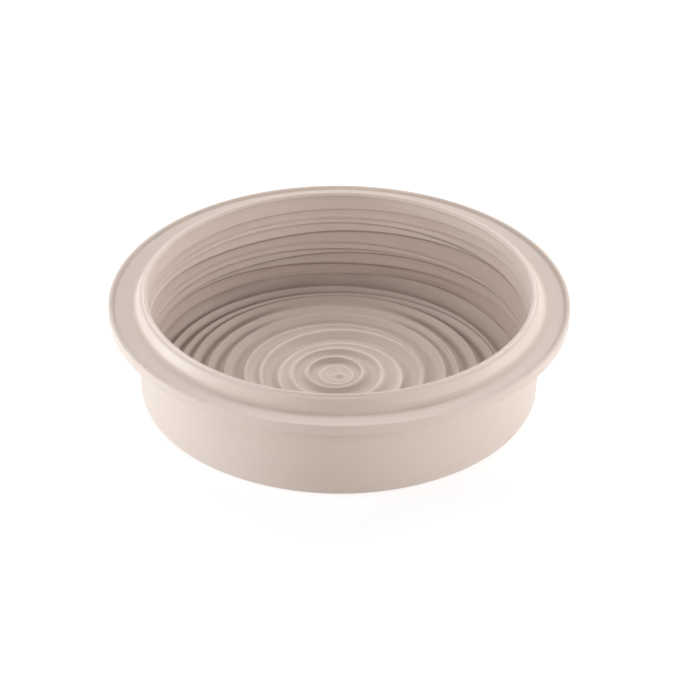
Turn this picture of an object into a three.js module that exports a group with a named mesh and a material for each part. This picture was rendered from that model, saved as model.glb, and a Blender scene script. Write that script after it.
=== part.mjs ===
// Round silicone cake mould with a rippled cavity, in millimetres, +Z up.
// The origin is the middle of the underside. The real mould is one moulding: it is built here
// from its named zones, which meet face to face on shared surfaces.
import * as THREE from 'three';

// Main sizes
const MOULD_HEIGHT = 52;
const OPENING_RADIUS = 91;
const WALL_THICKNESS = 5.4;
const WALL_DRAFT_DEGREES = 1.15;
const FLOOR_THICKNESS = 1.3;
const INNER_CORNER_WIDTH = 5.2;
const BASE_EDGE_RADIUS = 1.2;
const CORNER_ZONE_HEIGHT = 10.8;

// Collar around the opening: a narrow lip, a lower top that falls away from it, and a steep outside
const COLLAR_HEIGHT = 6.5;
const COLLAR_LIP_WIDTH = 1.4;
const COLLAR_LIP_FOOT_WIDTH = 2;
const COLLAR_LIP_DROP = 0.8;
const COLLAR_TOP_WIDTH = 3.4;
const COLLAR_TOP_DROP = 1.2;
const COLLAR_FOOT_WIDTH = 5.8;
const COLLAR_INNER_EDGE_RADIUS = 0.8;
const COLLAR_OUTER_EDGE_RADIUS = 1.2;
const COLLAR_FOOT_RADIUS = 3.4;

// Flange and the bead on its edge
const FLANGE_REACH = 12.9;
const FLANGE_THICKNESS = 3.9;
const FLANGE_FOOT_RADIUS = 1.5;
const BEAD_WIDTH = 2.6;
const BEAD_HEIGHT = 1.2;
const BEAD_CREST_WIDTH = 1.4;
const BEAD_EDGE_RADIUS = 0.6;
const BEAD_FOOT_RADIUS = 2.5;

// Ripple rings on the floor: crest radius, centre in x and y, and how much wider than long the ring is.
// A hollow channel lies between two crests, and it is shallower where they run close together.
const FLOOR_RINGS = [
  [5.0, -0.3, -2.6, 0],
  [7.6, -1.2, -2.4, 0],
  [13.5, -1.9, -1.2, 0],
  [22.2, -0.7, -2.4, 0],
  [29.7, 0.7, -5.3, 0],
  [39.0, 1.3, -2.1, 0],
  [43.2, -2.2, -1.4, 0],
  [52.9, -1.9, -0.6, 0.5],
  [60.7, -2.9, -1.4, 0],
  [68.7, -2.1, 0.9, 0.6],
  [75.9, -0.3, -1.9, 1.9],
  [81.3, -3.3, -1.9, 0.6],
];
const CHANNEL_DEPTH = 3.1;
const CHANNEL_SLOPE = 0.36;
const RING_CLEARANCE = 0.3;
const FLOOR_EDGE_CENTRE = [-2.5, -1];

// Low drop in the middle of the rings, its heights given from the crests
const DROP_RADIUS = 3;
const DROP_CENTRE = [0.2, -2.4];
const DROP_HEIGHT = 0.6;
const DROP_FOOT_DEPTH = 0.3;

// Thrown lines round the wall: height at every 30 degrees from +X by +Y to -X, the other half being
// alike, then the mean step under the lip, and the direction in degrees where the step is deepest
const WALL_LINES = [
  [[50.5, 50.5, 50.5, 50.5, 50.5, 50.5, 50.5], 0.5, 90],
  [[45.5, 45.2, 44.2, 43.4, 42.8, 42.6, 45.5], 0.5, 120],
  [[41.5, 40.6, 38.5, 38.0, 37.8, 38.1, 40.5], 0.35, 50],
  [[33.6, 34.8, 35.5, 35.6, 35.3, 35.3, 37.5], 0.6, 45],
  [[32.4, 33.8, 32.5, 31.4, 30.3, 32.3, 35.0], 1.0, 90],
  [[22.2, 22.4, 23.0, 24.3, 24.6, 25.4, 26.3], 0.4, 120],
  [[21.2, 21.4, 20.6, 20.6, 21.6, 22.2, 23.0], 0.55, 120],
  [[20.2, 20.4, 19.4, 18.3, 17.4, 17.8, 19.5], 1.0, 55],
  [[15.6, 14.8, 13.1, 12.3, 14.4, 16.2, 16.6], 0.75, 140],
  [[4.0, 5.2, 7.0, 6.0, 7.3, 8.9, 9.5], 0.6, 150],
];
const STEP_SWING = 0.7;
const LINE_LEAN = 0.4;
const LEDGE_DROP = 0.5;
const LINE_GAP = 0.5;
const LINE_CLEARANCE = 0.4;

// Fineness of the facets
const SIDES = 56;
const CURVE_STEPS = 3;
const CHANNEL_STEPS = 4;
const BAND_SHARE = 0.6;

// Sizes that follow from the ones above
const draftSlope = Math.tan(THREE.MathUtils.degToRad(WALL_DRAFT_DEGREES));
const flangeTop = MOULD_HEIGHT - COLLAR_HEIGHT;
const flangeUnderside = flangeTop - FLANGE_THICKNESS;
const lipHeight = MOULD_HEIGHT - COLLAR_INNER_EDGE_RADIUS;
const crestHeight = FLOOR_THICKNESS + CHANNEL_DEPTH;
const wallInside = (z) => OPENING_RADIUS - (MOULD_HEIGHT - z) * draftSlope;
const wallOutside = (z) => wallInside(z) + WALL_THICKNESS;
const floorRadius = wallInside(FLOOR_THICKNESS) - INNER_CORNER_WIDTH;
const flangeRadius = wallOutside(flangeUnderside) + FLANGE_REACH;
const beadSlope = Math.atan2(BEAD_HEIGHT, BEAD_WIDTH - BEAD_CREST_WIDTH);
const beadInside = flangeRadius - BEAD_WIDTH - BEAD_FOOT_RADIUS * Math.tan(beadSlope / 2);
const zoneBounds = [FLOOR_THICKNESS, CORNER_ZONE_HEIGHT, flangeUnderside, flangeTop, lipHeight];

// A row is one closed loop of points round the mould, all zones having the same number of them.
function makeRow(pointAt) {
  return Array.from({ length: SIDES }, (_, side) => pointAt((2 * Math.PI * side) / SIDES));
}

function polarPoint(radius, angle, z) {
  return new THREE.Vector3(radius * Math.cos(angle), radius * Math.sin(angle), z);
}

function circleRow(radius, z) {
  return makeRow((angle) => polarPoint(radius, angle, z));
}

// Outline of a section: corners [radius, height, rounding] become points, rounded ones an arc.
function roundCorners(corners) {
  const points = corners.map(([radius, z]) => new THREE.Vector2(radius, z));
  return points.flatMap((corner, i) => {
    const rounding = corners[i][2] ?? 0;
    if (rounding === 0) {
      return [corner];
    }
    const back = points[i - 1].clone().sub(corner).normalize();
    const ahead = points[i + 1].clone().sub(corner).normalize();
    const halfAngle = Math.acos(back.dot(ahead)) / 2;
    const middle = back.clone().add(ahead).normalize();
    const centre = corner.clone().addScaledVector(middle, rounding / Math.sin(halfAngle));
    const first = corner.clone().addScaledVector(back, rounding / Math.tan(halfAngle)).sub(centre);
    const turn = (Math.PI - 2 * halfAngle) * Math.sign(ahead.cross(back));
    return Array.from({ length: CURVE_STEPS + 1 }, (_, step) => (
      first.clone().rotateAround(new THREE.Vector2(), (turn * step) / CURVE_STEPS).add(centre)
    ));
  });
}

function outlineRows(corners) {
  return roundCorners(corners).map((point) => circleRow(point.x, point.y));
}

// Closed body from rows. The rows run round the section anticlockwise, seen with z up and the
// axis on the left. Poles close the body on the axis, and without poles the rows close on themselves.
function loftRows(rows, poles = []) {
  const points = [...rows.flat(), ...poles];
  const faces = [];
  const lastRow = rows.length - 1;
  const firstPole = rows.length * SIDES;
  const lastPole = firstPole + 1;
  const strips = poles.length > 0 ? lastRow : rows.length;
  const pointIndex = (row, side) => (row % rows.length) * SIDES + (side % SIDES);
  for (let side = 0; side < SIDES; side += 1) {
    for (let row = 0; row < strips; row += 1) {
      const a = pointIndex(row, side);
      const b = pointIndex(row, side + 1);
      const c = pointIndex(row + 1, side + 1);
      const d = pointIndex(row + 1, side);
      faces.push(a, b, c, a, c, d);
    }
    if (poles.length > 0) {
      faces.push(firstPole, pointIndex(0, side + 1), pointIndex(0, side));
      faces.push(lastPole, pointIndex(lastRow, side), pointIndex(lastRow, side + 1));
    }
  }
  const geometry = new THREE.BufferGeometry().setFromPoints(points);
  geometry.setIndex(faces);
  geometry.computeVertexNormals();
  return geometry;
}

// Circles of the floor's relief, from the drop outwards
const dropCircle = { radius: DROP_RADIUS, x: DROP_CENTRE[0], y: DROP_CENTRE[1], oval: 0 };
const floorEdge = { radius: floorRadius, x: FLOOR_EDGE_CENTRE[0], y: FLOOR_EDGE_CENTRE[1], oval: 0 };
const crestCircles = FLOOR_RINGS
  .map(([radius, x, y, oval]) => ({ radius, x, y, oval }))
  .filter(({ radius, x, y, oval }) => {
    const reach = radius + oval + Math.hypot(x - floorEdge.x, y - floorEdge.y);
    return reach < floorRadius - RING_CLEARANCE;
  });

function circlePoint(circle, angle, z) {
  const reach = circle.radius + circle.oval * Math.cos(2 * angle);
  return polarPoint(reach, angle, z).add(new THREE.Vector3(circle.x, circle.y, 0));
}

// Hollow channel between two crests, as rows from the inner one, left out, to the outer one
function channelRows(inner, outer, innerHeight) {
  return Array.from({ length: CHANNEL_STEPS }, (_, step) => makeRow((angle) => {
    const share = (step + 1) / CHANNEL_STEPS;
    const start = circlePoint(inner, angle, innerHeight);
    const end = circlePoint(outer, angle, crestHeight);
    const room = Math.hypot(end.x - start.x, end.y - start.y);
    const valley = crestHeight - Math.min(CHANNEL_DEPTH, CHANNEL_SLOPE * room);
    const level = share < 0.5 ? innerHeight : crestHeight;
    return start.lerp(end, share).setZ(valley + (level - valley) * (2 * share - 1) ** 2);
  }));
}

// Fall from the last crest to the edge of the floor
function edgeRows(crest) {
  return Array.from({ length: CURVE_STEPS }, (_, step) => {
    const share = (step + 1) / CURVE_STEPS;
    const z = FLOOR_THICKNESS + CHANNEL_DEPTH * (1 - THREE.MathUtils.smoothstep(share, 0, 1));
    return makeRow((angle) => circlePoint(crest, angle, z).lerp(circlePoint(floorEdge, angle, z), share));
  });
}

function makeFloorDisc() {
  const dropFootHeight = crestHeight - DROP_FOOT_DEPTH;
  const dropFoot = makeRow((angle) => circlePoint(dropCircle, angle, dropFootHeight));
  const channels = crestCircles.flatMap((crest, i) => {
    const inner = crestCircles[i - 1];
    return inner ? channelRows(inner, crest, crestHeight) : channelRows(dropCircle, crest, dropFootHeight);
  });
  const top = [dropFoot, ...channels, ...edgeRows(crestCircles.at(-1) ?? dropCircle)];
  const bottom = makeRow((angle) => circlePoint(floorEdge, angle, 0));
  const underside = new THREE.Vector3(0, 0, 0);
  const dropTip = new THREE.Vector3(dropCircle.x, dropCircle.y, crestHeight + DROP_HEIGHT);
  return loftRows([bottom, ...top.reverse()], [underside, dropTip]);
}

// Wall: between two lines the inside swells inwards going down, and steps back under each line.
const wallLines = WALL_LINES
  .map(([heights, step, degrees]) => ({
    heights,
    step,
    deepest: THREE.MathUtils.degToRad(degrees),
    mean: heights.reduce((sum, height) => sum + height) / heights.length,
  }))
  .filter(({ mean }) => mean > zoneBounds[0] && mean < zoneBounds.at(-1))
  .sort((a, b) => b.mean - a.mean);

function zoneOf(line) {
  const top = zoneBounds.findIndex((bound) => bound > line.mean);
  return [zoneBounds[top - 1], zoneBounds[top]];
}

// Smooth course through heights that are given at equal steps round half the wall
function courseAt(heights, angle) {
  const last = heights.length - 1;
  const place = (Math.min(angle, 2 * Math.PI - angle) / Math.PI) * last;
  const first = Math.floor(place);
  const t = place - first;
  const heightAt = (station) => heights[last - Math.abs(last - Math.abs(station))];
  const [a, b, c, d] = [first - 1, first, first + 1, first + 2].map(heightAt);
  return b + 0.5 * t * (c - a + t * (2 * a - 5 * b + 4 * c - d + t * (3 * (b - c) + d - a)));
}

// Top of the band, height and step of every line at one angle, kept inside its zone and in order
function linesAt(angle) {
  let above = lipHeight;
  return wallLines.map((line, i) => {
    const [low, high] = zoneOf(line);
    const linesBelow = wallLines.filter((other, j) => j > i && other.mean > low).length;
    const lowest = low + LINE_CLEARANCE + LEDGE_DROP + linesBelow * (LINE_GAP + LEDGE_DROP);
    const wanted = courseAt(line.heights, angle);
    const z = Math.max(lowest, Math.min(wanted, above - LINE_GAP, high - LINE_CLEARANCE));
    const swing = 1 + STEP_SWING * Math.cos(angle - line.deepest);
    const step = Math.min(line.step * swing, LINE_LEAN * (above - z));
    const bandTop = above;
    above = z - LEDGE_DROP;
    return { bandTop, z, step };
  });
}

function bandPoint({ bandTop, z, step }, angle, share) {
  const height = bandTop + (z - bandTop) * share;
  return polarPoint(wallInside(height) - step * (4 * share ** 3 - 3 * share ** 4), angle, height);
}

function wallPoint(z, angle) {
  const line = linesAt(angle).find((other) => z <= other.bandTop && z >= other.z);
  if (!line) {
    return polarPoint(wallInside(z), angle, z);
  }
  return bandPoint(line, angle, (line.bandTop - z) / (line.bandTop - line.z));
}

function insideRow(z) {
  return makeRow((angle) => wallPoint(z, angle));
}

// Swell, lip and ledge of each line between two heights, from the top down. A band that starts above
// the upper height has its swell in the part below it.
function lineRows(low, high) {
  return wallLines.flatMap((line, i) => {
    if (line.mean < low || line.mean > high) {
      return [];
    }
    const swell = makeRow((angle) => {
      const band = linesAt(angle)[i];
      const start = Math.max(0, (band.bandTop - high) / (band.bandTop - band.z));
      return bandPoint(band, angle, start + (1 - start) * BAND_SHARE);
    });
    const lip = makeRow((angle) => bandPoint(linesAt(angle)[i], angle, 1));
    const ledge = makeRow((angle) => {
      const z = linesAt(angle)[i].z - LEDGE_DROP;
      return polarPoint(wallInside(z), angle, z);
    });
    return [swell, lip, ledge];
  });
}

// Hollow corner from the lowest line's ledge down to the edge of the floor
function cornerRows() {
  return Array.from({ length: CURVE_STEPS }, (_, step) => makeRow((angle) => {
    const turn = (Math.PI / 2) * (1 - (step + 1) / (CURVE_STEPS + 1));
    const lowestLine = linesAt(angle).at(-1);
    const topZ = Math.min(CORNER_ZONE_HEIGHT, (lowestLine?.z ?? MOULD_HEIGHT) - LEDGE_DROP);
    const top = polarPoint(wallInside(topZ), angle, topZ);
    const edge = circlePoint(floorEdge, angle, FLOOR_THICKNESS);
    const z = edge.z + (top.z - edge.z) * (1 - Math.cos(turn));
    return edge.lerp(top, Math.sin(turn)).setZ(z);
  }));
}

function makeBaseCorner() {
  const outside = outlineRows([
    [floorRadius, 0],
    [wallOutside(0), 0, BASE_EDGE_RADIUS],
    [wallOutside(CORNER_ZONE_HEIGHT), CORNER_ZONE_HEIGHT],
  ]).slice(1);
  const bottom = makeRow((angle) => circlePoint(floorEdge, angle, 0));
  const lines = lineRows(FLOOR_THICKNESS, CORNER_ZONE_HEIGHT);
  const inside = [insideRow(CORNER_ZONE_HEIGHT), ...lines, ...cornerRows()];
  const edge = makeRow((angle) => circlePoint(floorEdge, angle, FLOOR_THICKNESS));
  return loftRows([bottom, ...outside, ...inside, edge]);
}

function makeSideWall() {
  const outside = outlineRows([
    [wallOutside(CORNER_ZONE_HEIGHT), CORNER_ZONE_HEIGHT],
    [wallOutside(flangeUnderside), flangeUnderside, FLANGE_FOOT_RADIUS],
    [beadInside, flangeUnderside],
  ]).slice(0, -1);
  const inside = lineRows(CORNER_ZONE_HEIGHT, flangeUnderside);
  return loftRows([...outside, insideRow(flangeUnderside), ...inside, insideRow(CORNER_ZONE_HEIGHT)]);
}

function makeRimFlange() {
  const outside = [circleRow(beadInside, flangeUnderside), circleRow(beadInside, flangeTop)];
  const inside = lineRows(flangeUnderside, flangeTop);
  return loftRows([...outside, insideRow(flangeTop), ...inside, insideRow(flangeUnderside)]);
}

function makeEdgeBead() {
  return loftRows(outlineRows([
    [beadInside, flangeUnderside],
    [flangeRadius, flangeUnderside, BEAD_EDGE_RADIUS],
    [flangeRadius, flangeTop + BEAD_HEIGHT, BEAD_EDGE_RADIUS],
    [flangeRadius - BEAD_CREST_WIDTH, flangeTop + BEAD_HEIGHT, BEAD_EDGE_RADIUS],
    [flangeRadius - BEAD_WIDTH, flangeTop, BEAD_FOOT_RADIUS],
    [beadInside, flangeTop],
  ]).slice(0, -1));
}

function makeRimCollar() {
  const outside = outlineRows([
    [beadInside, flangeTop],
    [OPENING_RADIUS + COLLAR_FOOT_WIDTH, flangeTop, COLLAR_FOOT_RADIUS],
    [OPENING_RADIUS + COLLAR_TOP_WIDTH, MOULD_HEIGHT - COLLAR_TOP_DROP, COLLAR_OUTER_EDGE_RADIUS],
    [OPENING_RADIUS + COLLAR_LIP_FOOT_WIDTH, MOULD_HEIGHT - COLLAR_LIP_DROP],
    [OPENING_RADIUS + COLLAR_LIP_WIDTH, MOULD_HEIGHT],
    [OPENING_RADIUS, MOULD_HEIGHT, COLLAR_INNER_EDGE_RADIUS],
    [wallInside(flangeTop), flangeTop],
  ]).slice(1, -1);
  return loftRows([...outside, ...lineRows(flangeTop, lipHeight), insideRow(flangeTop)]);
}

// Taupe silicone with a soft satin surface
function makeSilicone() {
  return new THREE.MeshStandardMaterial({ color: 0xc4ae9f, roughness: 0.55, metalness: 0 });
}

const zones = {
  floor_disc: makeFloorDisc(),
  base_corner: makeBaseCorner(),
  side_wall: makeSideWall(),
  rim_flange: makeRimFlange(),
  edge_bead: makeEdgeBead(),
  rim_collar: makeRimCollar(),
};

const mould = new THREE.Group();
for (const [name, geometry] of Object.entries(zones)) {
  const mesh = new THREE.Mesh(geometry, makeSilicone());
  mesh.name = name;
  mould.add(mesh);
}

export default mould;
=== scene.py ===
"""Looks of a round silicone cake mould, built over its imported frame, in metres with +Z up."""

import math
from collections import namedtuple

import bpy
import numpy as np
from mathutils import Matrix, Vector


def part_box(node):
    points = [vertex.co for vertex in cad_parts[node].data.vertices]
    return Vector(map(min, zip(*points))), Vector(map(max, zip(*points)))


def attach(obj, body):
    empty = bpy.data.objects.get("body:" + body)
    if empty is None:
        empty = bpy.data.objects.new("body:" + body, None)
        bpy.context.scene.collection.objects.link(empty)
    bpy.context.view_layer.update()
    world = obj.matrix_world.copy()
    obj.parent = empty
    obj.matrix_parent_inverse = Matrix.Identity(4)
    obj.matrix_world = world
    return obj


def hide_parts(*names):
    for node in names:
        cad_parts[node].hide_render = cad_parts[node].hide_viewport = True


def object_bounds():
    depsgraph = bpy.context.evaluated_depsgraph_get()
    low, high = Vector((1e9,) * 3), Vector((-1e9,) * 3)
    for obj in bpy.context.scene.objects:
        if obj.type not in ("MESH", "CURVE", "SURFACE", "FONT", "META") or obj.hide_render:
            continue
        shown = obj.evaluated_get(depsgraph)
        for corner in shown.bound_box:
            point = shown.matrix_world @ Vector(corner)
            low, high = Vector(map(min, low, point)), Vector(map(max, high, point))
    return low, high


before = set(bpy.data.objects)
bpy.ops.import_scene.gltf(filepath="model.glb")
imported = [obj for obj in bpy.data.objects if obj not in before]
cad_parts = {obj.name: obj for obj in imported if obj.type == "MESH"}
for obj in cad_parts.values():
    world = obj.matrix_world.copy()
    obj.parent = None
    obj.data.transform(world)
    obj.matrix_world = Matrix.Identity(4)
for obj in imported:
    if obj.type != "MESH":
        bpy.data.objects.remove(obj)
cad_low, cad_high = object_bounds()

MM = 0.001

# Sizes read from the frame
mould_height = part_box("rim_collar")[1].z
flange_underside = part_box("rim_flange")[0].z
flange_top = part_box("rim_flange")[1].z
bead_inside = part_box("rim_flange")[1].x
bead_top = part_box("edge_bead")[1].z
flange_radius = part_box("edge_bead")[1].x
corner_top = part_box("base_corner")[1].z
object_middle = (cad_low + cad_high) / 2

# Sizes of the moulding that the boxes don't give
OPENING_RADIUS = 91 * MM
WALL_THICKNESS = 5.4 * MM
WALL_DRAFT = math.tan(math.radians(1.15))
FLOOR_THICKNESS = 1.3 * MM
BASE_EDGE_RADIUS = 1.2 * MM
CORNER_HOLLOW = 0.5
COLLAR_LIP_WIDTH = 1.4 * MM
COLLAR_LIP_EDGE_RADIUS = 0.4 * MM
COLLAR_LIP_FOOT_WIDTH = 2 * MM
COLLAR_LIP_FOOT_RADIUS = 0.5 * MM
COLLAR_LIP_DROP = 0.8 * MM
COLLAR_TOP_WIDTH = 3.4 * MM
COLLAR_TOP_DROP = 1.2 * MM
COLLAR_FOOT_WIDTH = 5.8 * MM
COLLAR_INNER_EDGE_RADIUS = 0.8 * MM
COLLAR_OUTER_EDGE_RADIUS = 1.2 * MM
COLLAR_FOOT_RADIUS = 3.4 * MM
FLANGE_FOOT_RADIUS = 1.5 * MM
BEAD_WIDTH = 2.6 * MM
BEAD_CREST_WIDTH = 1.4 * MM
BEAD_EDGE_RADIUS = 0.6 * MM
BEAD_FOOT_RADIUS = 2.5 * MM

# Crests of the ripple rings on the floor, in mm: radius, centre in x and y, and how much wider than long
Ring = namedtuple("Ring", "radius x y oval")
FLOOR_RINGS = [
    Ring(5.0, -0.3, -2.6, 0.0),
    Ring(7.6, -1.2, -2.4, 0.0),
    Ring(13.5, -1.9, -1.2, 0.0),
    Ring(22.2, -0.7, -2.4, 0.0),
    Ring(29.7, 0.7, -5.3, 0.0),
    Ring(39.0, 1.3, -2.1, 0.0),
    Ring(43.2, -2.2, -1.4, 0.0),
    Ring(52.9, -1.9, -0.6, 0.5),
    Ring(60.7, -2.9, -1.4, 0.0),
    Ring(68.7, -2.1, 0.9, 0.6),
    Ring(75.9, -0.3, -1.9, 1.9),
    Ring(81.3, -3.3, -1.9, 0.6),
]
FLOOR_EDGE = Ring(84.8, -2.5, -1.0, 0.0)

# Channels inside the rings: the full depth, its most as a share of the width, and each ring's share of it
CHANNEL_DEPTH = 3.1 * MM
CHANNEL_SLOPE = 0.36
RING_STRENGTHS = (0.2, 0.2, 0.9, 0.7, 0.45, 0.85, 0.5, 0.8, 1.0, 1.0, 1.0, 1.0)
CREST_HEIGHT = FLOOR_THICKNESS + CHANNEL_DEPTH
CREST_ROUNDING = 0.55 * MM
MOST_CREST_ROUNDING = 0.35
CHANNEL_ROWS = 20

# Rings whose channels flatten out towards the back, and by how much
SHALLOW_RINGS = FLOOR_RINGS[8:10]
BACK_SHALLOWS = 0.75

# Hollow in the middle of the floor, in which the innermost rings and the drop lie
HOLLOW_RINGS = FLOOR_RINGS[:2]
HOLLOW_DROP = 1.1 * MM

# Low drop in the middle of the rings; its heights are from the hollow's crests
DROP_CIRCLE = Ring(3.0, 0.2, -2.4, 0.0)
DROP_HEIGHT = 0.6 * MM
DROP_FOOT_HEIGHT = -0.3 * MM
DROP_ROWS = 7

# Thrown lines round the wall, in mm: height at every 30 degrees from +X by +Y to -X, the other half
# being alike, then the mean step under the lip, and the direction in degrees where it is deepest
WALL_LINES = [
    ((50.5, 50.5, 50.5, 50.5, 50.5, 50.5, 50.5), 0.50, 90),
    ((45.5, 45.2, 44.2, 43.4, 42.8, 42.6, 45.5), 0.50, 120),
    ((41.5, 40.6, 38.5, 38.0, 37.8, 38.1, 40.5), 0.35, 50),
    ((33.6, 34.8, 35.5, 35.6, 35.3, 35.3, 37.5), 0.60, 45),
    ((32.4, 33.8, 32.5, 31.4, 30.3, 32.3, 35.0), 1.00, 90),
    ((22.2, 22.4, 23.0, 24.3, 24.6, 25.4, 26.3), 0.40, 120),
    ((21.2, 21.4, 20.6, 20.6, 21.6, 22.2, 23.0), 0.55, 120),
    ((20.2, 20.4, 19.4, 18.3, 17.4, 17.8, 19.5), 1.00, 55),
    ((15.6, 14.8, 13.1, 12.3, 14.4, 16.2, 16.6), 0.75, 140),
    ((2.2, 4.6, 6.6, 6.0, 7.3, 8.9, 9.5), 0.60, 150),
]
STEP_SWING = 0.7
LINE_LEAN = 0.4
LEDGE_DROP = 0.5 * MM
LINE_GAP = 0.5 * MM
LINE_CLEARANCE = 0.4 * MM
BAND_ROWS = 20
LEDGE_ROWS = 5

# Fine throwing marks between the lines: pitch in mm, drift round the wall in mm, and its direction
THROWING_MARKS = [
    (1.7, 1.3, 20),
    (2.5, 2.1, 130),
    (3.7, 1.6, 250),
]
MARK_HEIGHT = 0.02 * MM
MARK_FADE = 1.0 * MM

# Painted light and shade on the surface: 1 is a painted highlight, -1 is painted shade
MARK_PAINTED_SHADING = 0.07
LINE_PAINTED_SHADE = -1.0
LINE_SHADE_STEP = 1.2 * MM
LINE_SHADE_REACH = 0.9 * MM
CREST_PAINTED_HIGHLIGHT = 0.35
HOLLOW_PAINTED_LIGHT = 0.0
CHANNEL_PAINTED_SHADE = -0.85
CHANNEL_SHADE_GAIN = 1.4
FOOT_PAINTED_SHADE = -0.5
CORNER_EDGE_PAINTED_LIGHT = 0.1
FLANGE_PAINTED_SHADE = -0.1
BEAD_FOOT_PAINTED_SHADE = -0.6

# Painted light over the whole floor, from a painted pool of light in its middle to painted shade at its
# edge
MIDDLE_PAINTED_LIGHT = 0.7
MIDDLE_RADIUS = 20 * MM
EDGE_PAINTED_SHADE = -0.15
EDGE_RADIUS = 70 * MM

# Painted shade on the front sides of the rings' slopes in the middle of the floor
LEE_PAINTED_SHADE = -1.1
LEE_GAIN = 2.4

# Painted shadow in the hollow round the collar's foot, at the front of the rim
FRONT_FOOT_PAINTED_SHADOW = -0.65
FRONT_FOOT_RADIUS = 99 * MM
FRONT_FOOT_REACH = 2.5 * MM

# Painted shade in a band above the corner, on one side of the wall
CORNER_BAND_PAINTED_SHADE = -1.0
SHADE_REACH = 2.8 * MM
SHADE_TURN = math.radians(47)
SHADE_SPREAD = 0.3

# The silicone: tones by painted light, from painted shade to a painted highlight, then its clouds, gloss,
# sheen and grain
SILICONE_TONES = [
    (0.02, (0.370, 0.288, 0.240)),
    (0.30, (0.580, 0.480, 0.420)),
    (0.70, (0.620, 0.516, 0.452)),
    (0.98, (0.820, 0.700, 0.625)),
]
PAINTED_LIGHT_CONTRAST = 0.5
CLOUD_SCALE = 28
CLOUD_TONES = (0.35, 0.65)
GLOSS_ROUGHNESS = (0.42, 0.56)
SILICONE_IOR = 1.41
SHEEN_WEIGHT = 0.35
SHEEN_ROUGHNESS = 0.45
GRAIN_SCALE = 1800
GRAIN_STRENGTH = 0.12
GRAIN_HEIGHT = 0.08 * MM

# The pale floor under the object: half its width, its greys for bounced light and as seen, and its glow
STAGE_HALF_WIDTH = 4.0
STAGE_BOUNCE = (0.8, 0.8, 0.8, 1)
STAGE_SHOWN = (0.5, 0.5, 0.5, 1)
STAGE_GLOW = 0.62
WHITE = (1, 1, 1, 1)

# Softboxes round the object: direction from +X by +Y and elevation in degrees, width in metres, power in
# watts, and colour
SOFTBOX_DISTANCE = 1.15
WHITE_LIGHT = (1, 1, 1)
COOL_LIGHT = (0.92, 1.0, 1.07)
SOFTBOXES = [
    ("left_softbox", 180, 36, 0.6, 2.8, WHITE_LIGHT),
    ("right_softbox", 0, 16, 0.6, 5.2, WHITE_LIGHT),
    ("near_left_softbox", 180, 8, 0.4, 2.1, COOL_LIGHT),
    ("front_left_softbox", 225, 20, 0.6, 4.5, WHITE_LIGHT),
    ("front_right_softbox", 315, 20, 0.6, 5.6, WHITE_LIGHT),
    ("back_right_softbox", 45, 12, 0.4, 2.3, WHITE_LIGHT),
    ("back_softbox", 90, 42, 0.6, 3.8, WHITE_LIGHT),
    ("high_back_left_softbox", 135, 50, 0.6, 2.8, WHITE_LIGHT),
    ("high_back_right_softbox", 45, 50, 0.6, 3.0, WHITE_LIGHT),
    ("low_left_softbox", 180, 3, 0.15, 6.8, COOL_LIGHT),
    ("low_right_softbox", 0, 3, 0.15, 2.6, COOL_LIGHT),
]

# The photograph's camera
IMAGE_PIXELS = 680
FOCAL_PIXELS = 2300
SENSOR_WIDTH_MM = 36
CAMERA_TARGET = Vector((0.43, 0.0, 21.76)) * MM
CAMERA_DISTANCE = 1102.6 * MM
CAMERA_ELEVATION = math.radians(32.45)
CAMERA_ROLL = math.radians(0.36)

# Fineness of the meshes
SIDES = 288
CORNER_ROWS = 16
ARC_ROWS = 10
LONGEST_RUN = 2.5 * MM

# Columns of a row's points, whose first point lies on +X; the last column holds painted light and shade
X, Z, PAINTED_LIGHT_COLUMN = 0, 2, 3

angles = np.arange(SIDES) * (2 * math.pi / SIDES)
cosines = np.cos(angles)
sines = np.sin(angles)

# Heights where the pieces that make up the inside of the wall begin and end
lip_height = mould_height - COLLAR_INNER_EDGE_RADIUS
zone_ends = [FLOOR_THICKNESS, corner_top, flange_underside, flange_top, lip_height]


def wall_inside(z):
    return OPENING_RADIUS - (mould_height - z) * WALL_DRAFT


def wall_outside(z):
    return wall_inside(z) + WALL_THICKNESS


def smoothstep(t):
    t = np.clip(t, 0, 1)
    return t * t * (3 - 2 * t)


def polar_row(radius, z, painted_light=0.0):
    """One closed loop of points with their painted light and shade; each value is a number or one per
    angle.
    """
    return np.stack([radius * cosines, radius * sines, *np.broadcast_arrays(z, painted_light, angles)[:2]], axis=1)


def round_corners(corners):
    """Points of a section's outline: each corner is (radius, height) or (radius, height, rounding)."""
    places = [Vector(corner[:2]) for corner in corners]
    points = []
    for i, corner in enumerate(corners):
        if len(corner) == 2:
            points.append(places[i])
            continue
        rounding = corner[2]
        back = (places[i - 1] - places[i]).normalized()
        ahead = (places[i + 1] - places[i]).normalized()
        half_angle = back.angle(ahead) / 2
        centre = places[i] + (back + ahead).normalized() * (rounding / math.sin(half_angle))
        first = places[i] + back * (rounding / math.tan(half_angle)) - centre
        turn = math.copysign(math.pi - 2 * half_angle, ahead.cross(back))
        for step in range(ARC_ROWS + 1):
            points.append(centre + Matrix.Rotation(turn * step / ARC_ROWS, 2) @ first)
    return points


def outline_rows(corners, painted_light=0.0):
    """Rows of a round outline, with long straight runs cut into short ones."""
    points = round_corners(corners)
    rows = []
    for start, end in zip(points, points[1:]):
        pieces = max(1, math.ceil((end - start).length / LONGEST_RUN))
        for piece in range(pieces):
            point = start.lerp(end, piece / pieces)
            rows.append(polar_row(point.x, point.y, painted_light))
    rows.append(polar_row(points[-1].x, points[-1].y, painted_light))
    return rows


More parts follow.
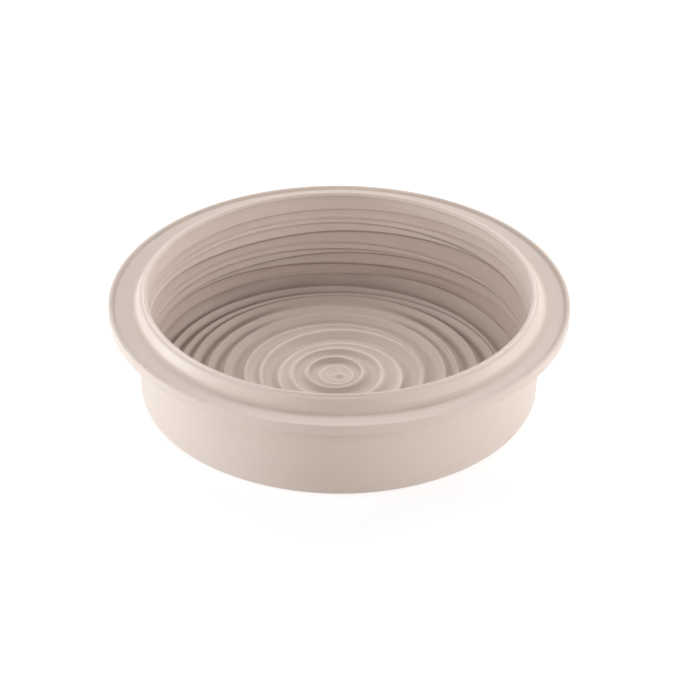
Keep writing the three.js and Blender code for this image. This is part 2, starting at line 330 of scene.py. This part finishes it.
def loft(name, runs, poles=()):
    """A closed body from runs of rows that go round its section anticlockwise.

    Shading is smooth along a run and breaks at its ends, where the body meets its neighbours."""
    rows = [row for run in runs for row in run]
    points = np.concatenate(rows + [np.array([pole]) for pole in poles])
    side = np.arange(SIDES)
    after = (side + 1) % SIDES
    strips = len(rows) - 1 if poles else len(rows)
    faces = []
    for row in range(strips):
        here = row * SIDES
        there = ((row + 1) % len(rows)) * SIDES
        faces += np.stack([here + side, here + after, there + after, there + side], axis=1).tolist()
    if poles:
        first_pole = len(rows) * SIDES
        last_row = first_pole - SIDES
        pairs = list(zip(side.tolist(), after.tolist()))
        faces += [(first_pole, b, a) for a, b in pairs]
        faces += [(first_pole + 1, last_row + a, last_row + b) for a, b in pairs]
    mesh = bpy.data.meshes.new(name)
    mesh.from_pydata(points[:, :PAINTED_LIGHT_COLUMN].tolist(), [], faces)
    # the painted light and shade is stored on the points
    mesh.attributes.new("painted_light", "FLOAT", "POINT").data.foreach_set("value", points[:, PAINTED_LIGHT_COLUMN])
    mesh.shade_smooth()
    run_ends = np.cumsum([0] + [len(run) for run in runs])
    seams = set(run_ends[:-1].tolist()) | set((run_ends[1:] - 1).tolist())
    if poles:
        seams.discard(len(rows) - 1)
    for edge in mesh.edges:
        first, second = (vertex // SIDES for vertex in edge.vertices)
        edge.use_edge_sharp = first == second and first in seams
    piece = bpy.data.objects.new(name, mesh)
    bpy.context.scene.collection.objects.link(piece)
    return piece


def ring_points(ring):
    """Plan points of a ring that is given in mm."""
    radius, x, y, oval = (size * MM for size in ring)
    reach = radius + oval * np.cos(2 * angles)
    return np.stack([x + reach * cosines, y + reach * sines], axis=1)


def crest_level(ring):
    """Height of a ring's crest: the innermost ones lie in a hollow."""
    if ring == DROP_CIRCLE:
        return CREST_HEIGHT - HOLLOW_DROP + DROP_FOOT_HEIGHT
    return CREST_HEIGHT - (HOLLOW_DROP if ring in HOLLOW_RINGS else 0)


def channel_share(crest):
    """Share of its depth and painted shade that the channel inside a crest has at each angle."""
    strength = RING_STRENGTHS[FLOOR_RINGS.index(crest)]
    if crest not in SHALLOW_RINGS:
        return np.full(SIDES, strength)
    return strength * (1 - BACK_SHALLOWS * np.maximum(sines, 0) ** 3)


def channel_depths(inner, crest):
    """Depth of the channel between two crests at each angle: less where they run close together."""
    room = np.linalg.norm(ring_points(crest) - ring_points(inner), axis=1)
    return np.minimum(CHANNEL_DEPTH, CHANNEL_SLOPE * room) * channel_share(crest)


def floor_row(plan, z, ring_painted_light, lee=0.0):
    """Row on the floor's top: painted light in the middle and painted shade towards the edge, with the
    ring's own painted light and shade.

    The lee is the share by which a place lies on the front side of a slope, which gets painted shade."""
    past = smoothstep((np.linalg.norm(plan, axis=1) - MIDDLE_RADIUS) / (EDGE_RADIUS - MIDDLE_RADIUS))
    painted_light = MIDDLE_PAINTED_LIGHT + (EDGE_PAINTED_SHADE - MIDDLE_PAINTED_LIGHT) * past + ring_painted_light + LEE_PAINTED_SHADE * (1 - past) * lee
    return np.column_stack([plan, np.broadcast_to(z, SIDES), painted_light])


def channel_rows(inner, crest):
    """Rows of a hollow channel from one crest to the next, with both crests rounded."""
    start, end = ring_points(inner), ring_points(crest)
    rounding = min(MOST_CREST_ROUNDING, 2 * CREST_ROUNDING / ((crest.radius - inner.radius) * MM))
    # how strongly the channel gets painted shade
    strength = np.minimum(1, CHANNEL_SHADE_GAIN * channel_share(crest))
    crest_painted_light = HOLLOW_PAINTED_LIGHT if crest in HOLLOW_RINGS else CREST_PAINTED_HIGHLIGHT
    valley = crest_level(crest) - channel_depths(inner, crest)
    rows = []
    for i in range(1, CHANNEL_ROWS + 1):
        share = 0.5 - 0.5 * math.cos(math.pi * i / CHANNEL_ROWS)
        across = abs(2 * share - 1)
        past = max(0.0, across - 1 + rounding)
        bowl = min(across, 1 - rounding) ** 2 + (1 - rounding) * past * (2 - past / rounding)
        bowl /= 1 - rounding
        level = crest_level(inner if share < 0.5 else crest)
        plan = start + (end - start) * share
        inside = math.sin(math.pi * share)
        # painted highlight on the crests, painted shade down in the channel
        ring_painted_light = crest_painted_light + (CHANNEL_PAINTED_SHADE - crest_painted_light) * strength * inside ** 2
        # painted shade on the side of the slope that faces the front
        lee = LEE_GAIN * strength * np.maximum(0, (2 * share - 1) * inside * sines)
        rows.append(floor_row(plan, valley + (level - valley) * bowl, ring_painted_light, lee))
    return rows


def make_floor():
    """Cavity floor: a flat-bottomed disc with a low drop and the wandering ring channels on its top."""
    circles = [DROP_CIRCLE, *FLOOR_RINGS]
    centre = np.array([DROP_CIRCLE.x, DROP_CIRCLE.y]) * MM
    drop_top = CREST_HEIGHT - HOLLOW_DROP + DROP_HEIGHT
    top = []
    for i in range(1, DROP_ROWS + 1):
        share = i / DROP_ROWS
        plan = centre + (ring_points(DROP_CIRCLE) - centre) * share
        z = drop_top + (crest_level(DROP_CIRCLE) - drop_top) * smoothstep(share)
        # the drop's front side gets painted shade
        top.append(floor_row(plan, z, HOLLOW_PAINTED_LIGHT, np.maximum(0, -sines) * share))
    for inner, crest in zip(circles, circles[1:]):
        top += channel_rows(inner, crest)
    start, end = ring_points(FLOOR_RINGS[-1]), ring_points(FLOOR_EDGE)
    for i in range(1, CHANNEL_ROWS + 1):
        share = i / CHANNEL_ROWS
        z = FLOOR_THICKNESS + CHANNEL_DEPTH * (1 - smoothstep(share))
        # from a painted highlight on the last crest to painted shade at the floor's edge
        ring_painted_light = CREST_PAINTED_HIGHLIGHT + (FOOT_PAINTED_SHADE - CREST_PAINTED_HIGHLIGHT) * smoothstep(share)
        top.append(floor_row(start + (end - start) * share, z, ring_painted_light))
    # the drop's tip has the painted light of the floor's middle
    tip = (*centre, drop_top, MIDDLE_PAINTED_LIGHT + HOLLOW_PAINTED_LIGHT)
    bottom = np.column_stack([ring_points(FLOOR_EDGE), np.zeros((SIDES, 2))])
    return loft("floor_ripples", [[bottom], top[::-1]], [(0, 0, 0, 0), tip])


def round_the_wall(heights):
    """Smooth course of heights given in mm at equal steps round half the wall, one value per angle.

    Between two of them it is a cubic whose slopes come from their neighbours."""
    stations = np.array(heights) * MM
    last = len(stations) - 1
    place = np.minimum(angles, 2 * math.pi - angles) / math.pi * last
    first = np.floor(place).astype(int)
    t = place - first
    a, b, c, d = (stations[last - abs(last - abs(first + shift))] for shift in (-1, 0, 1, 2))
    return b + 0.5 * t * (c - a + t * (2 * a - 5 * b + 4 * c - d + t * (3 * (b - c) + d - a)))


WallLine = namedtuple("WallLine", "band_top lip step full_step")


def wall_lines():
    """Each line's band top, lip height, step and full step at each angle, from the lip down.

    Lines keep their order and their zone, and the step is less than full where two run close together."""
    above = np.full(SIDES, lip_height)
    means = [sum(line[0]) / len(line[0]) * MM for line in WALL_LINES]
    found = []
    for i, (heights, line_step, deepest) in enumerate(WALL_LINES):
        low = max(end for end in zone_ends if end < means[i])
        high = min(end for end in zone_ends if end > means[i])
        below = sum(mean > low for mean in means[i + 1:])
        lowest = low + LINE_CLEARANCE + LEDGE_DROP + below * (LINE_GAP + LEDGE_DROP)
        z = np.minimum(np.minimum(round_the_wall(heights), above - LINE_GAP), high - LINE_CLEARANCE)
        z = np.maximum(lowest, z)
        full_step = line_step * MM * (1 + STEP_SWING * np.cos(angles - math.radians(deepest)))
        step = np.minimum(full_step, LINE_LEAN * (above - z))
        found.append(WallLine(above, z, step, full_step))
        above = z - LEDGE_DROP
    return found


def mark_share(z):
    """Strength of the throwing marks at a height: none at the ends of a zone, where pieces meet."""
    return smoothstep(np.min([abs(z - end) for end in zone_ends], axis=0) / MARK_FADE)


def inside_row(z):
    """Row on the inside of the wall at a height for each angle, with the thrown lines' relief and painted
    shade.
    """
    relief = np.zeros(SIDES)
    painted_light = np.zeros(SIDES)
    for band_top, lip, step, full_step in lines:
        band = (band_top - z) / (band_top - lip)
        ledge = (lip - z) / LEDGE_DROP
        on_band = (band >= 0) & (band <= 1)
        on_ledge = (ledge > 0) & (ledge < 1)
        relief += np.where(on_band, step * (4 * band ** 3 - 3 * band ** 4), 0)
        relief += np.where(on_ledge, step * (1 - smoothstep(ledge)), 0)
        fade = np.exp(np.minimum(z - lip + step, 0) / LINE_SHADE_REACH)
        # painted shade under each lip, fading downwards
        painted_light += np.where(z < lip, LINE_PAINTED_SHADE * fade * np.minimum(full_step / LINE_SHADE_STEP, 1), 0)
    marks = np.zeros(SIDES)
    for pitch, drift, turn in THROWING_MARKS:
        marks += np.sin(2 * math.pi * (z + drift * MM * np.cos(angles - math.radians(turn))) / (pitch * MM))
    # painted shading along the throwing marks, following their relief
    painted_light += MARK_PAINTED_SHADING * marks
    above_corner = z - lines[-1].lip
    # painted shade in a band above the corner, on one side of the wall
    painted_light += CORNER_BAND_PAINTED_SHADE * shade_share * np.exp(-np.maximum(above_corner, 0) / SHADE_REACH)
    return polar_row(wall_inside(z) - relief - MARK_HEIGHT * marks * mark_share(z), z, painted_light)


def inside_rows(low, high):
    """Rows on the inside of the wall from one height down to another."""
    knots = [(np.full(SIDES, high), BAND_ROWS)]
    for line in lines:
        if low < line.lip.mean() < high:
            knots += [(line.lip, LEDGE_ROWS), (line.lip - LEDGE_DROP, BAND_ROWS)]
    knots.append((np.full(SIDES, low), 0))
    rows = []
    for (start, count), (end, _) in zip(knots, knots[1:]):
        rows += [inside_row(start + (end - start) * i / count) for i in range(count)]
    rows.append(inside_row(knots[-1][0]))
    return rows


def corner_rows():
    """Hollow corner from the lowest line's ledge down to the edge of the floor."""
    top = inside_row(lines[-1].lip - LEDGE_DROP)
    # painted shade at the edge of the floor
    edge = floor_row(ring_points(FLOOR_EDGE), FLOOR_THICKNESS, FOOT_PAINTED_SHADE)
    # painted light along the corner's top on the side with the painted shade band
    top_painted_light = top[:, PAINTED_LIGHT_COLUMN] * (1 - shade_share) + CORNER_EDGE_PAINTED_LIGHT * shade_share
    rows = []
    for i in range(CORNER_ROWS + 1):
        straight = 1 - i / CORNER_ROWS
        turn = math.pi / 2 * straight
        out = straight + (math.sin(turn) - straight) * CORNER_HOLLOW
        up = straight + (1 - math.cos(turn) - straight) * CORNER_HOLLOW
        row = edge + (top - edge) * np.array([out, out, up, 0])
        row[:, PAINTED_LIGHT_COLUMN] = top_painted_light * up + edge[:, PAINTED_LIGHT_COLUMN] * (1 - up) ** 3
        rows.append(row)
    return rows


def make_corner():
    """Corner between floor and wall, with the rounded bottom edge outside."""
    outside = outline_rows([
        (wall_outside(0.0) - BASE_EDGE_RADIUS, 0.0),
        (wall_outside(0.0), 0.0, BASE_EDGE_RADIUS),
        (wall_outside(corner_top), corner_top),
    ])
    bottom = np.column_stack([ring_points(FLOOR_EDGE), np.zeros((SIDES, 2))])
    down_to_last_ledge = inside_rows(FLOOR_THICKNESS, corner_top)[:-BAND_ROWS - 1]
    return loft("corner_ring", [[bottom, *outside], [*down_to_last_ledge, *corner_rows()]])


def make_wall():
    """Side wall, smooth outside and lined inside."""
    outside = outline_rows([
        (wall_outside(corner_top), corner_top),
        (wall_outside(flange_underside), flange_underside, FLANGE_FOOT_RADIUS),
        (wall_outside(flange_underside) + FLANGE_FOOT_RADIUS, flange_underside),
    ])
    return loft("wall_band", [outside, inside_rows(corner_top, flange_underside)])


def paint_front_foot_shadow(rows):
    """Paint shadow into the hollow round the collar's foot, at the front of the rim."""
    for row in rows:
        aside = (row[0, X] - FRONT_FOOT_RADIUS) / FRONT_FOOT_REACH
        row[:, PAINTED_LIGHT_COLUMN] += FRONT_FOOT_PAINTED_SHADOW * math.exp(-aside ** 2) * np.maximum(0, -sines) ** 2


def make_flange():
    """Flat flange round the rim."""
    wall_foot = wall_outside(flange_underside) + FLANGE_FOOT_RADIUS
    collar_foot = OPENING_RADIUS + COLLAR_FOOT_WIDTH
    underside = outline_rows([(wall_foot, flange_underside), (bead_inside, flange_underside)])
    # the whole flange top gets a little painted shade
    top = outline_rows([(bead_inside, flange_top), (collar_foot, flange_top)], FLANGE_PAINTED_SHADE)
    # painted shadow round the collar's foot, at the front
    paint_front_foot_shadow(top)
    return loft("flange_plate", [underside, top, inside_rows(flange_underside, flange_top)])


def make_bead():
    """Raised bead on the flange's edge, with painted shade on its inner foot, fading to none at the front.
    """
    crest_inside = flange_radius - BEAD_CREST_WIDTH
    rows = outline_rows([
        (bead_inside, flange_underside),
        (flange_radius, flange_underside, BEAD_EDGE_RADIUS),
        (flange_radius, bead_top, BEAD_EDGE_RADIUS),
        (crest_inside, bead_top, BEAD_EDGE_RADIUS),
        (flange_radius - BEAD_WIDTH, flange_top, BEAD_FOOT_RADIUS),
        (bead_inside, flange_top),
    ])[:-1]
    for row in rows:
        if row[0, Z] >= flange_top:
            inward = np.clip((crest_inside - row[0, X]) / (crest_inside - bead_inside), 0, 1)
            # painted shade on the bead's inner foot, none at the front, plus the flange's painted shade
            row[:, PAINTED_LIGHT_COLUMN] = BEAD_FOOT_PAINTED_SHADE * math.sin(math.pi * inward) * np.minimum(1, 1 + sines)
            row[:, PAINTED_LIGHT_COLUMN] += FLANGE_PAINTED_SHADE * inward
    return loft("bead_ring", [rows])


def make_collar():
    """Raised collar round the opening."""
    rounded = round_corners([
        (bead_inside, flange_top),
        (OPENING_RADIUS + COLLAR_FOOT_WIDTH, flange_top, COLLAR_FOOT_RADIUS),
        (OPENING_RADIUS + COLLAR_TOP_WIDTH, mould_height - COLLAR_TOP_DROP, COLLAR_OUTER_EDGE_RADIUS),
        (OPENING_RADIUS + COLLAR_LIP_FOOT_WIDTH, mould_height - COLLAR_LIP_DROP, COLLAR_LIP_FOOT_RADIUS),
        (OPENING_RADIUS + COLLAR_LIP_WIDTH, mould_height, COLLAR_LIP_EDGE_RADIUS),
        (OPENING_RADIUS, mould_height, COLLAR_INNER_EDGE_RADIUS),
        (wall_inside(flange_top), flange_top),
    ])[1:-1]
    outside = outline_rows([tuple(point) for point in rounded])
    # painted shadow round the collar's foot, at the front
    paint_front_foot_shadow(outside)
    return loft("collar_ring", [[*outside[:-1], *inside_rows(flange_top, lip_height)]])


def add_node(tree, kind, **inputs):
    """A shader node with its input sockets set by name."""
    node = tree.nodes.new(kind)
    for name, value in inputs.items():
        node.inputs[name.replace("_", " ")].default_value = value
    return node


def silicone_material():
    """Taupe silicone: close tones in soft clouds and by painted light and shade, a fine satin grain,
    slightly uneven gloss.
    """
    material = bpy.data.materials.new("silicone")
    material.use_nodes = True
    tree = material.node_tree
    shader = tree.nodes["Principled BSDF"]
    shader.inputs["IOR"].default_value = SILICONE_IOR
    shader.inputs["Sheen Weight"].default_value = SHEEN_WEIGHT
    shader.inputs["Sheen Roughness"].default_value = SHEEN_ROUGHNESS
    place = tree.nodes.new("ShaderNodeTexCoord")
    clouds = add_node(tree, "ShaderNodeTexNoise", Scale=CLOUD_SCALE, Detail=4, Roughness=0.6)
    soft_clouds = add_node(tree, "ShaderNodeMapRange", To_Min=CLOUD_TONES[0], To_Max=CLOUD_TONES[1])
    # base tone darkened or lightened by the painted light and shade stored on the points
    painted_light_node = tree.nodes.new("ShaderNodeAttribute")
    painted_light_node.attribute_name = "painted_light"
    shade = tree.nodes.new("ShaderNodeMath")
    shade.operation = "MULTIPLY_ADD"
    shade.inputs[1].default_value = PAINTED_LIGHT_CONTRAST
    tones = tree.nodes.new("ShaderNodeValToRGB")
    ramp = tones.color_ramp.elements
    for place_on_ramp, colour in SILICONE_TONES:
        tone = ramp.new(place_on_ramp)
        tone.color = (*colour, 1)
    ramp.remove(ramp[-1])
    ramp.remove(ramp[0])
    gloss = add_node(tree, "ShaderNodeMapRange", To_Min=GLOSS_ROUGHNESS[0], To_Max=GLOSS_ROUGHNESS[1])
    grain = add_node(tree, "ShaderNodeTexNoise", Scale=GRAIN_SCALE, Detail=3, Roughness=0.7)
    bump = add_node(tree, "ShaderNodeBump", Strength=GRAIN_STRENGTH, Distance=GRAIN_HEIGHT)
    link = tree.links.new
    link(place.outputs["Object"], clouds.inputs["Vector"])
    link(place.outputs["Object"], grain.inputs["Vector"])
    link(painted_light_node.outputs["Fac"], shade.inputs[0])
    link(clouds.outputs["Fac"], soft_clouds.inputs["Value"])
    link(soft_clouds.outputs["Result"], shade.inputs[2])
    link(shade.outputs["Value"], tones.inputs["Fac"])
    link(tones.outputs["Color"], shader.inputs["Base Color"])
    link(clouds.outputs["Fac"], gloss.inputs["Value"])
    link(gloss.outputs["Result"], shader.inputs["Roughness"])
    link(grain.outputs["Fac"], bump.inputs["Height"])
    link(bump.outputs["Normal"], shader.inputs["Normal"])
    return material


def seen_directly(tree):
    """Factor that is 1 for rays that show the background: camera, glossy and transmission rays."""
    path = tree.nodes.new("ShaderNodeLightPath")
    either = tree.nodes.new("ShaderNodeMath")
    either.operation = "MAXIMUM"
    any_of_them = tree.nodes.new("ShaderNodeMath")
    any_of_them.operation = "MAXIMUM"
    tree.links.new(path.outputs["Is Camera Ray"], either.inputs[0])
    tree.links.new(path.outputs["Is Glossy Ray"], either.inputs[1])
    tree.links.new(either.outputs[0], any_of_them.inputs[0])
    tree.links.new(path.outputs["Is Transmission Ray"], any_of_them.inputs[1])
    return any_of_them.outputs[0]


def make_floor_plane():
    """Pale floor that looks white in the light and keeps the object's soft shadow."""
    half = STAGE_HALF_WIDTH
    corners = [(-half, -half, 0), (half, -half, 0), (half, half, 0), (-half, half, 0)]
    mesh = bpy.data.meshes.new("studio_floor")
    mesh.from_pydata(corners, [], [(0, 1, 2, 3)])
    floor = bpy.data.objects.new("studio_floor", mesh)
    bpy.context.scene.collection.objects.link(floor)
    material = bpy.data.materials.new("studio_floor")
    material.use_nodes = True
    tree = material.node_tree
    tree.nodes.clear()
    bounce = add_node(tree, "ShaderNodeBsdfDiffuse", Color=STAGE_BOUNCE)
    shown = add_node(tree, "ShaderNodeBsdfDiffuse", Color=STAGE_SHOWN)
    glow = add_node(tree, "ShaderNodeEmission", Color=WHITE, Strength=STAGE_GLOW)
    both = tree.nodes.new("ShaderNodeAddShader")
    mix = tree.nodes.new("ShaderNodeMixShader")
    output = tree.nodes.new("ShaderNodeOutputMaterial")
    tree.links.new(shown.outputs[0], both.inputs[0])
    tree.links.new(glow.outputs[0], both.inputs[1])
    tree.links.new(seen_directly(tree), mix.inputs[0])
    tree.links.new(bounce.outputs[0], mix.inputs[1])
    tree.links.new(both.outputs[0], mix.inputs[2])
    tree.links.new(mix.outputs[0], output.inputs["Surface"])
    mesh.materials.append(material)


def make_world():
    """White background where it is seen directly; it lights nothing else, the softboxes do."""
    world = bpy.data.worlds.new("studio")
    bpy.context.scene.world = world
    world.use_nodes = True
    tree = world.node_tree
    background = tree.nodes["Background"]
    background.inputs["Color"].default_value = WHITE
    tree.links.new(seen_directly(tree), background.inputs["Strength"])


def add_softbox(name, direction, elevation, width, power, colour):
    """Square area light that faces the object."""
    turn = math.radians(direction)
    rise = math.radians(elevation)
    outward = Vector((math.cos(rise) * math.cos(turn), math.cos(rise) * math.sin(turn), math.sin(rise)))
    light = bpy.data.lights.new(name, "AREA")
    light.size = width
    light.energy = power
    light.color = colour
    lamp = bpy.data.objects.new(name, light)
    lamp.location = object_middle + outward * SOFTBOX_DISTANCE
    lamp.rotation_mode = "QUATERNION"
    lamp.rotation_quaternion = (-outward).to_track_quat("-Z", "Y")
    bpy.context.scene.collection.objects.link(lamp)


def make_camera():
    """Camera at the photograph's angle, from its fitted target, distance, elevation and roll."""
    ahead = Vector((0, math.cos(CAMERA_ELEVATION), -math.sin(CAMERA_ELEVATION)))
    level_up = Vector((0, math.sin(CAMERA_ELEVATION), math.cos(CAMERA_ELEVATION)))
    right = Vector((1, 0, 0)) * math.cos(CAMERA_ROLL) + level_up * math.sin(CAMERA_ROLL)
    up = right.cross(ahead)
    data = bpy.data.cameras.new("camera")
    data.sensor_width = SENSOR_WIDTH_MM
    data.lens = FOCAL_PIXELS / IMAGE_PIXELS * SENSOR_WIDTH_MM
    camera = bpy.data.objects.new("camera", data)
    bpy.context.scene.collection.objects.link(camera)
    turn = Matrix((right, up, -ahead)).transposed().to_4x4()
    camera.matrix_world = Matrix.Translation(CAMERA_TARGET - ahead * CAMERA_DISTANCE) @ turn
    bpy.context.scene.camera = camera


lines = wall_lines()
# share by angle of the painted shade band above the corner and the painted light on its top
shade_share = smoothstep(1 - (1 - np.cos(angles - SHADE_TURN)) / SHADE_SPREAD)

pieces = {
    "floor_disc": make_floor(),
    "base_corner": make_corner(),
    "side_wall": make_wall(),
    "rim_flange": make_flange(),
    "edge_bead": make_bead(),
    "rim_collar": make_collar(),
}
silicone = silicone_material()
for node, piece in pieces.items():
    piece.data.materials.append(silicone)
    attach(piece, "root")
    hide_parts(node)

make_floor_plane()
make_world()
for softbox in SOFTBOXES:
    add_softbox(*softbox)
make_camera()
bpy.context.scene.view_settings.view_transform = "Standard"

bpy.context.view_layer.update()
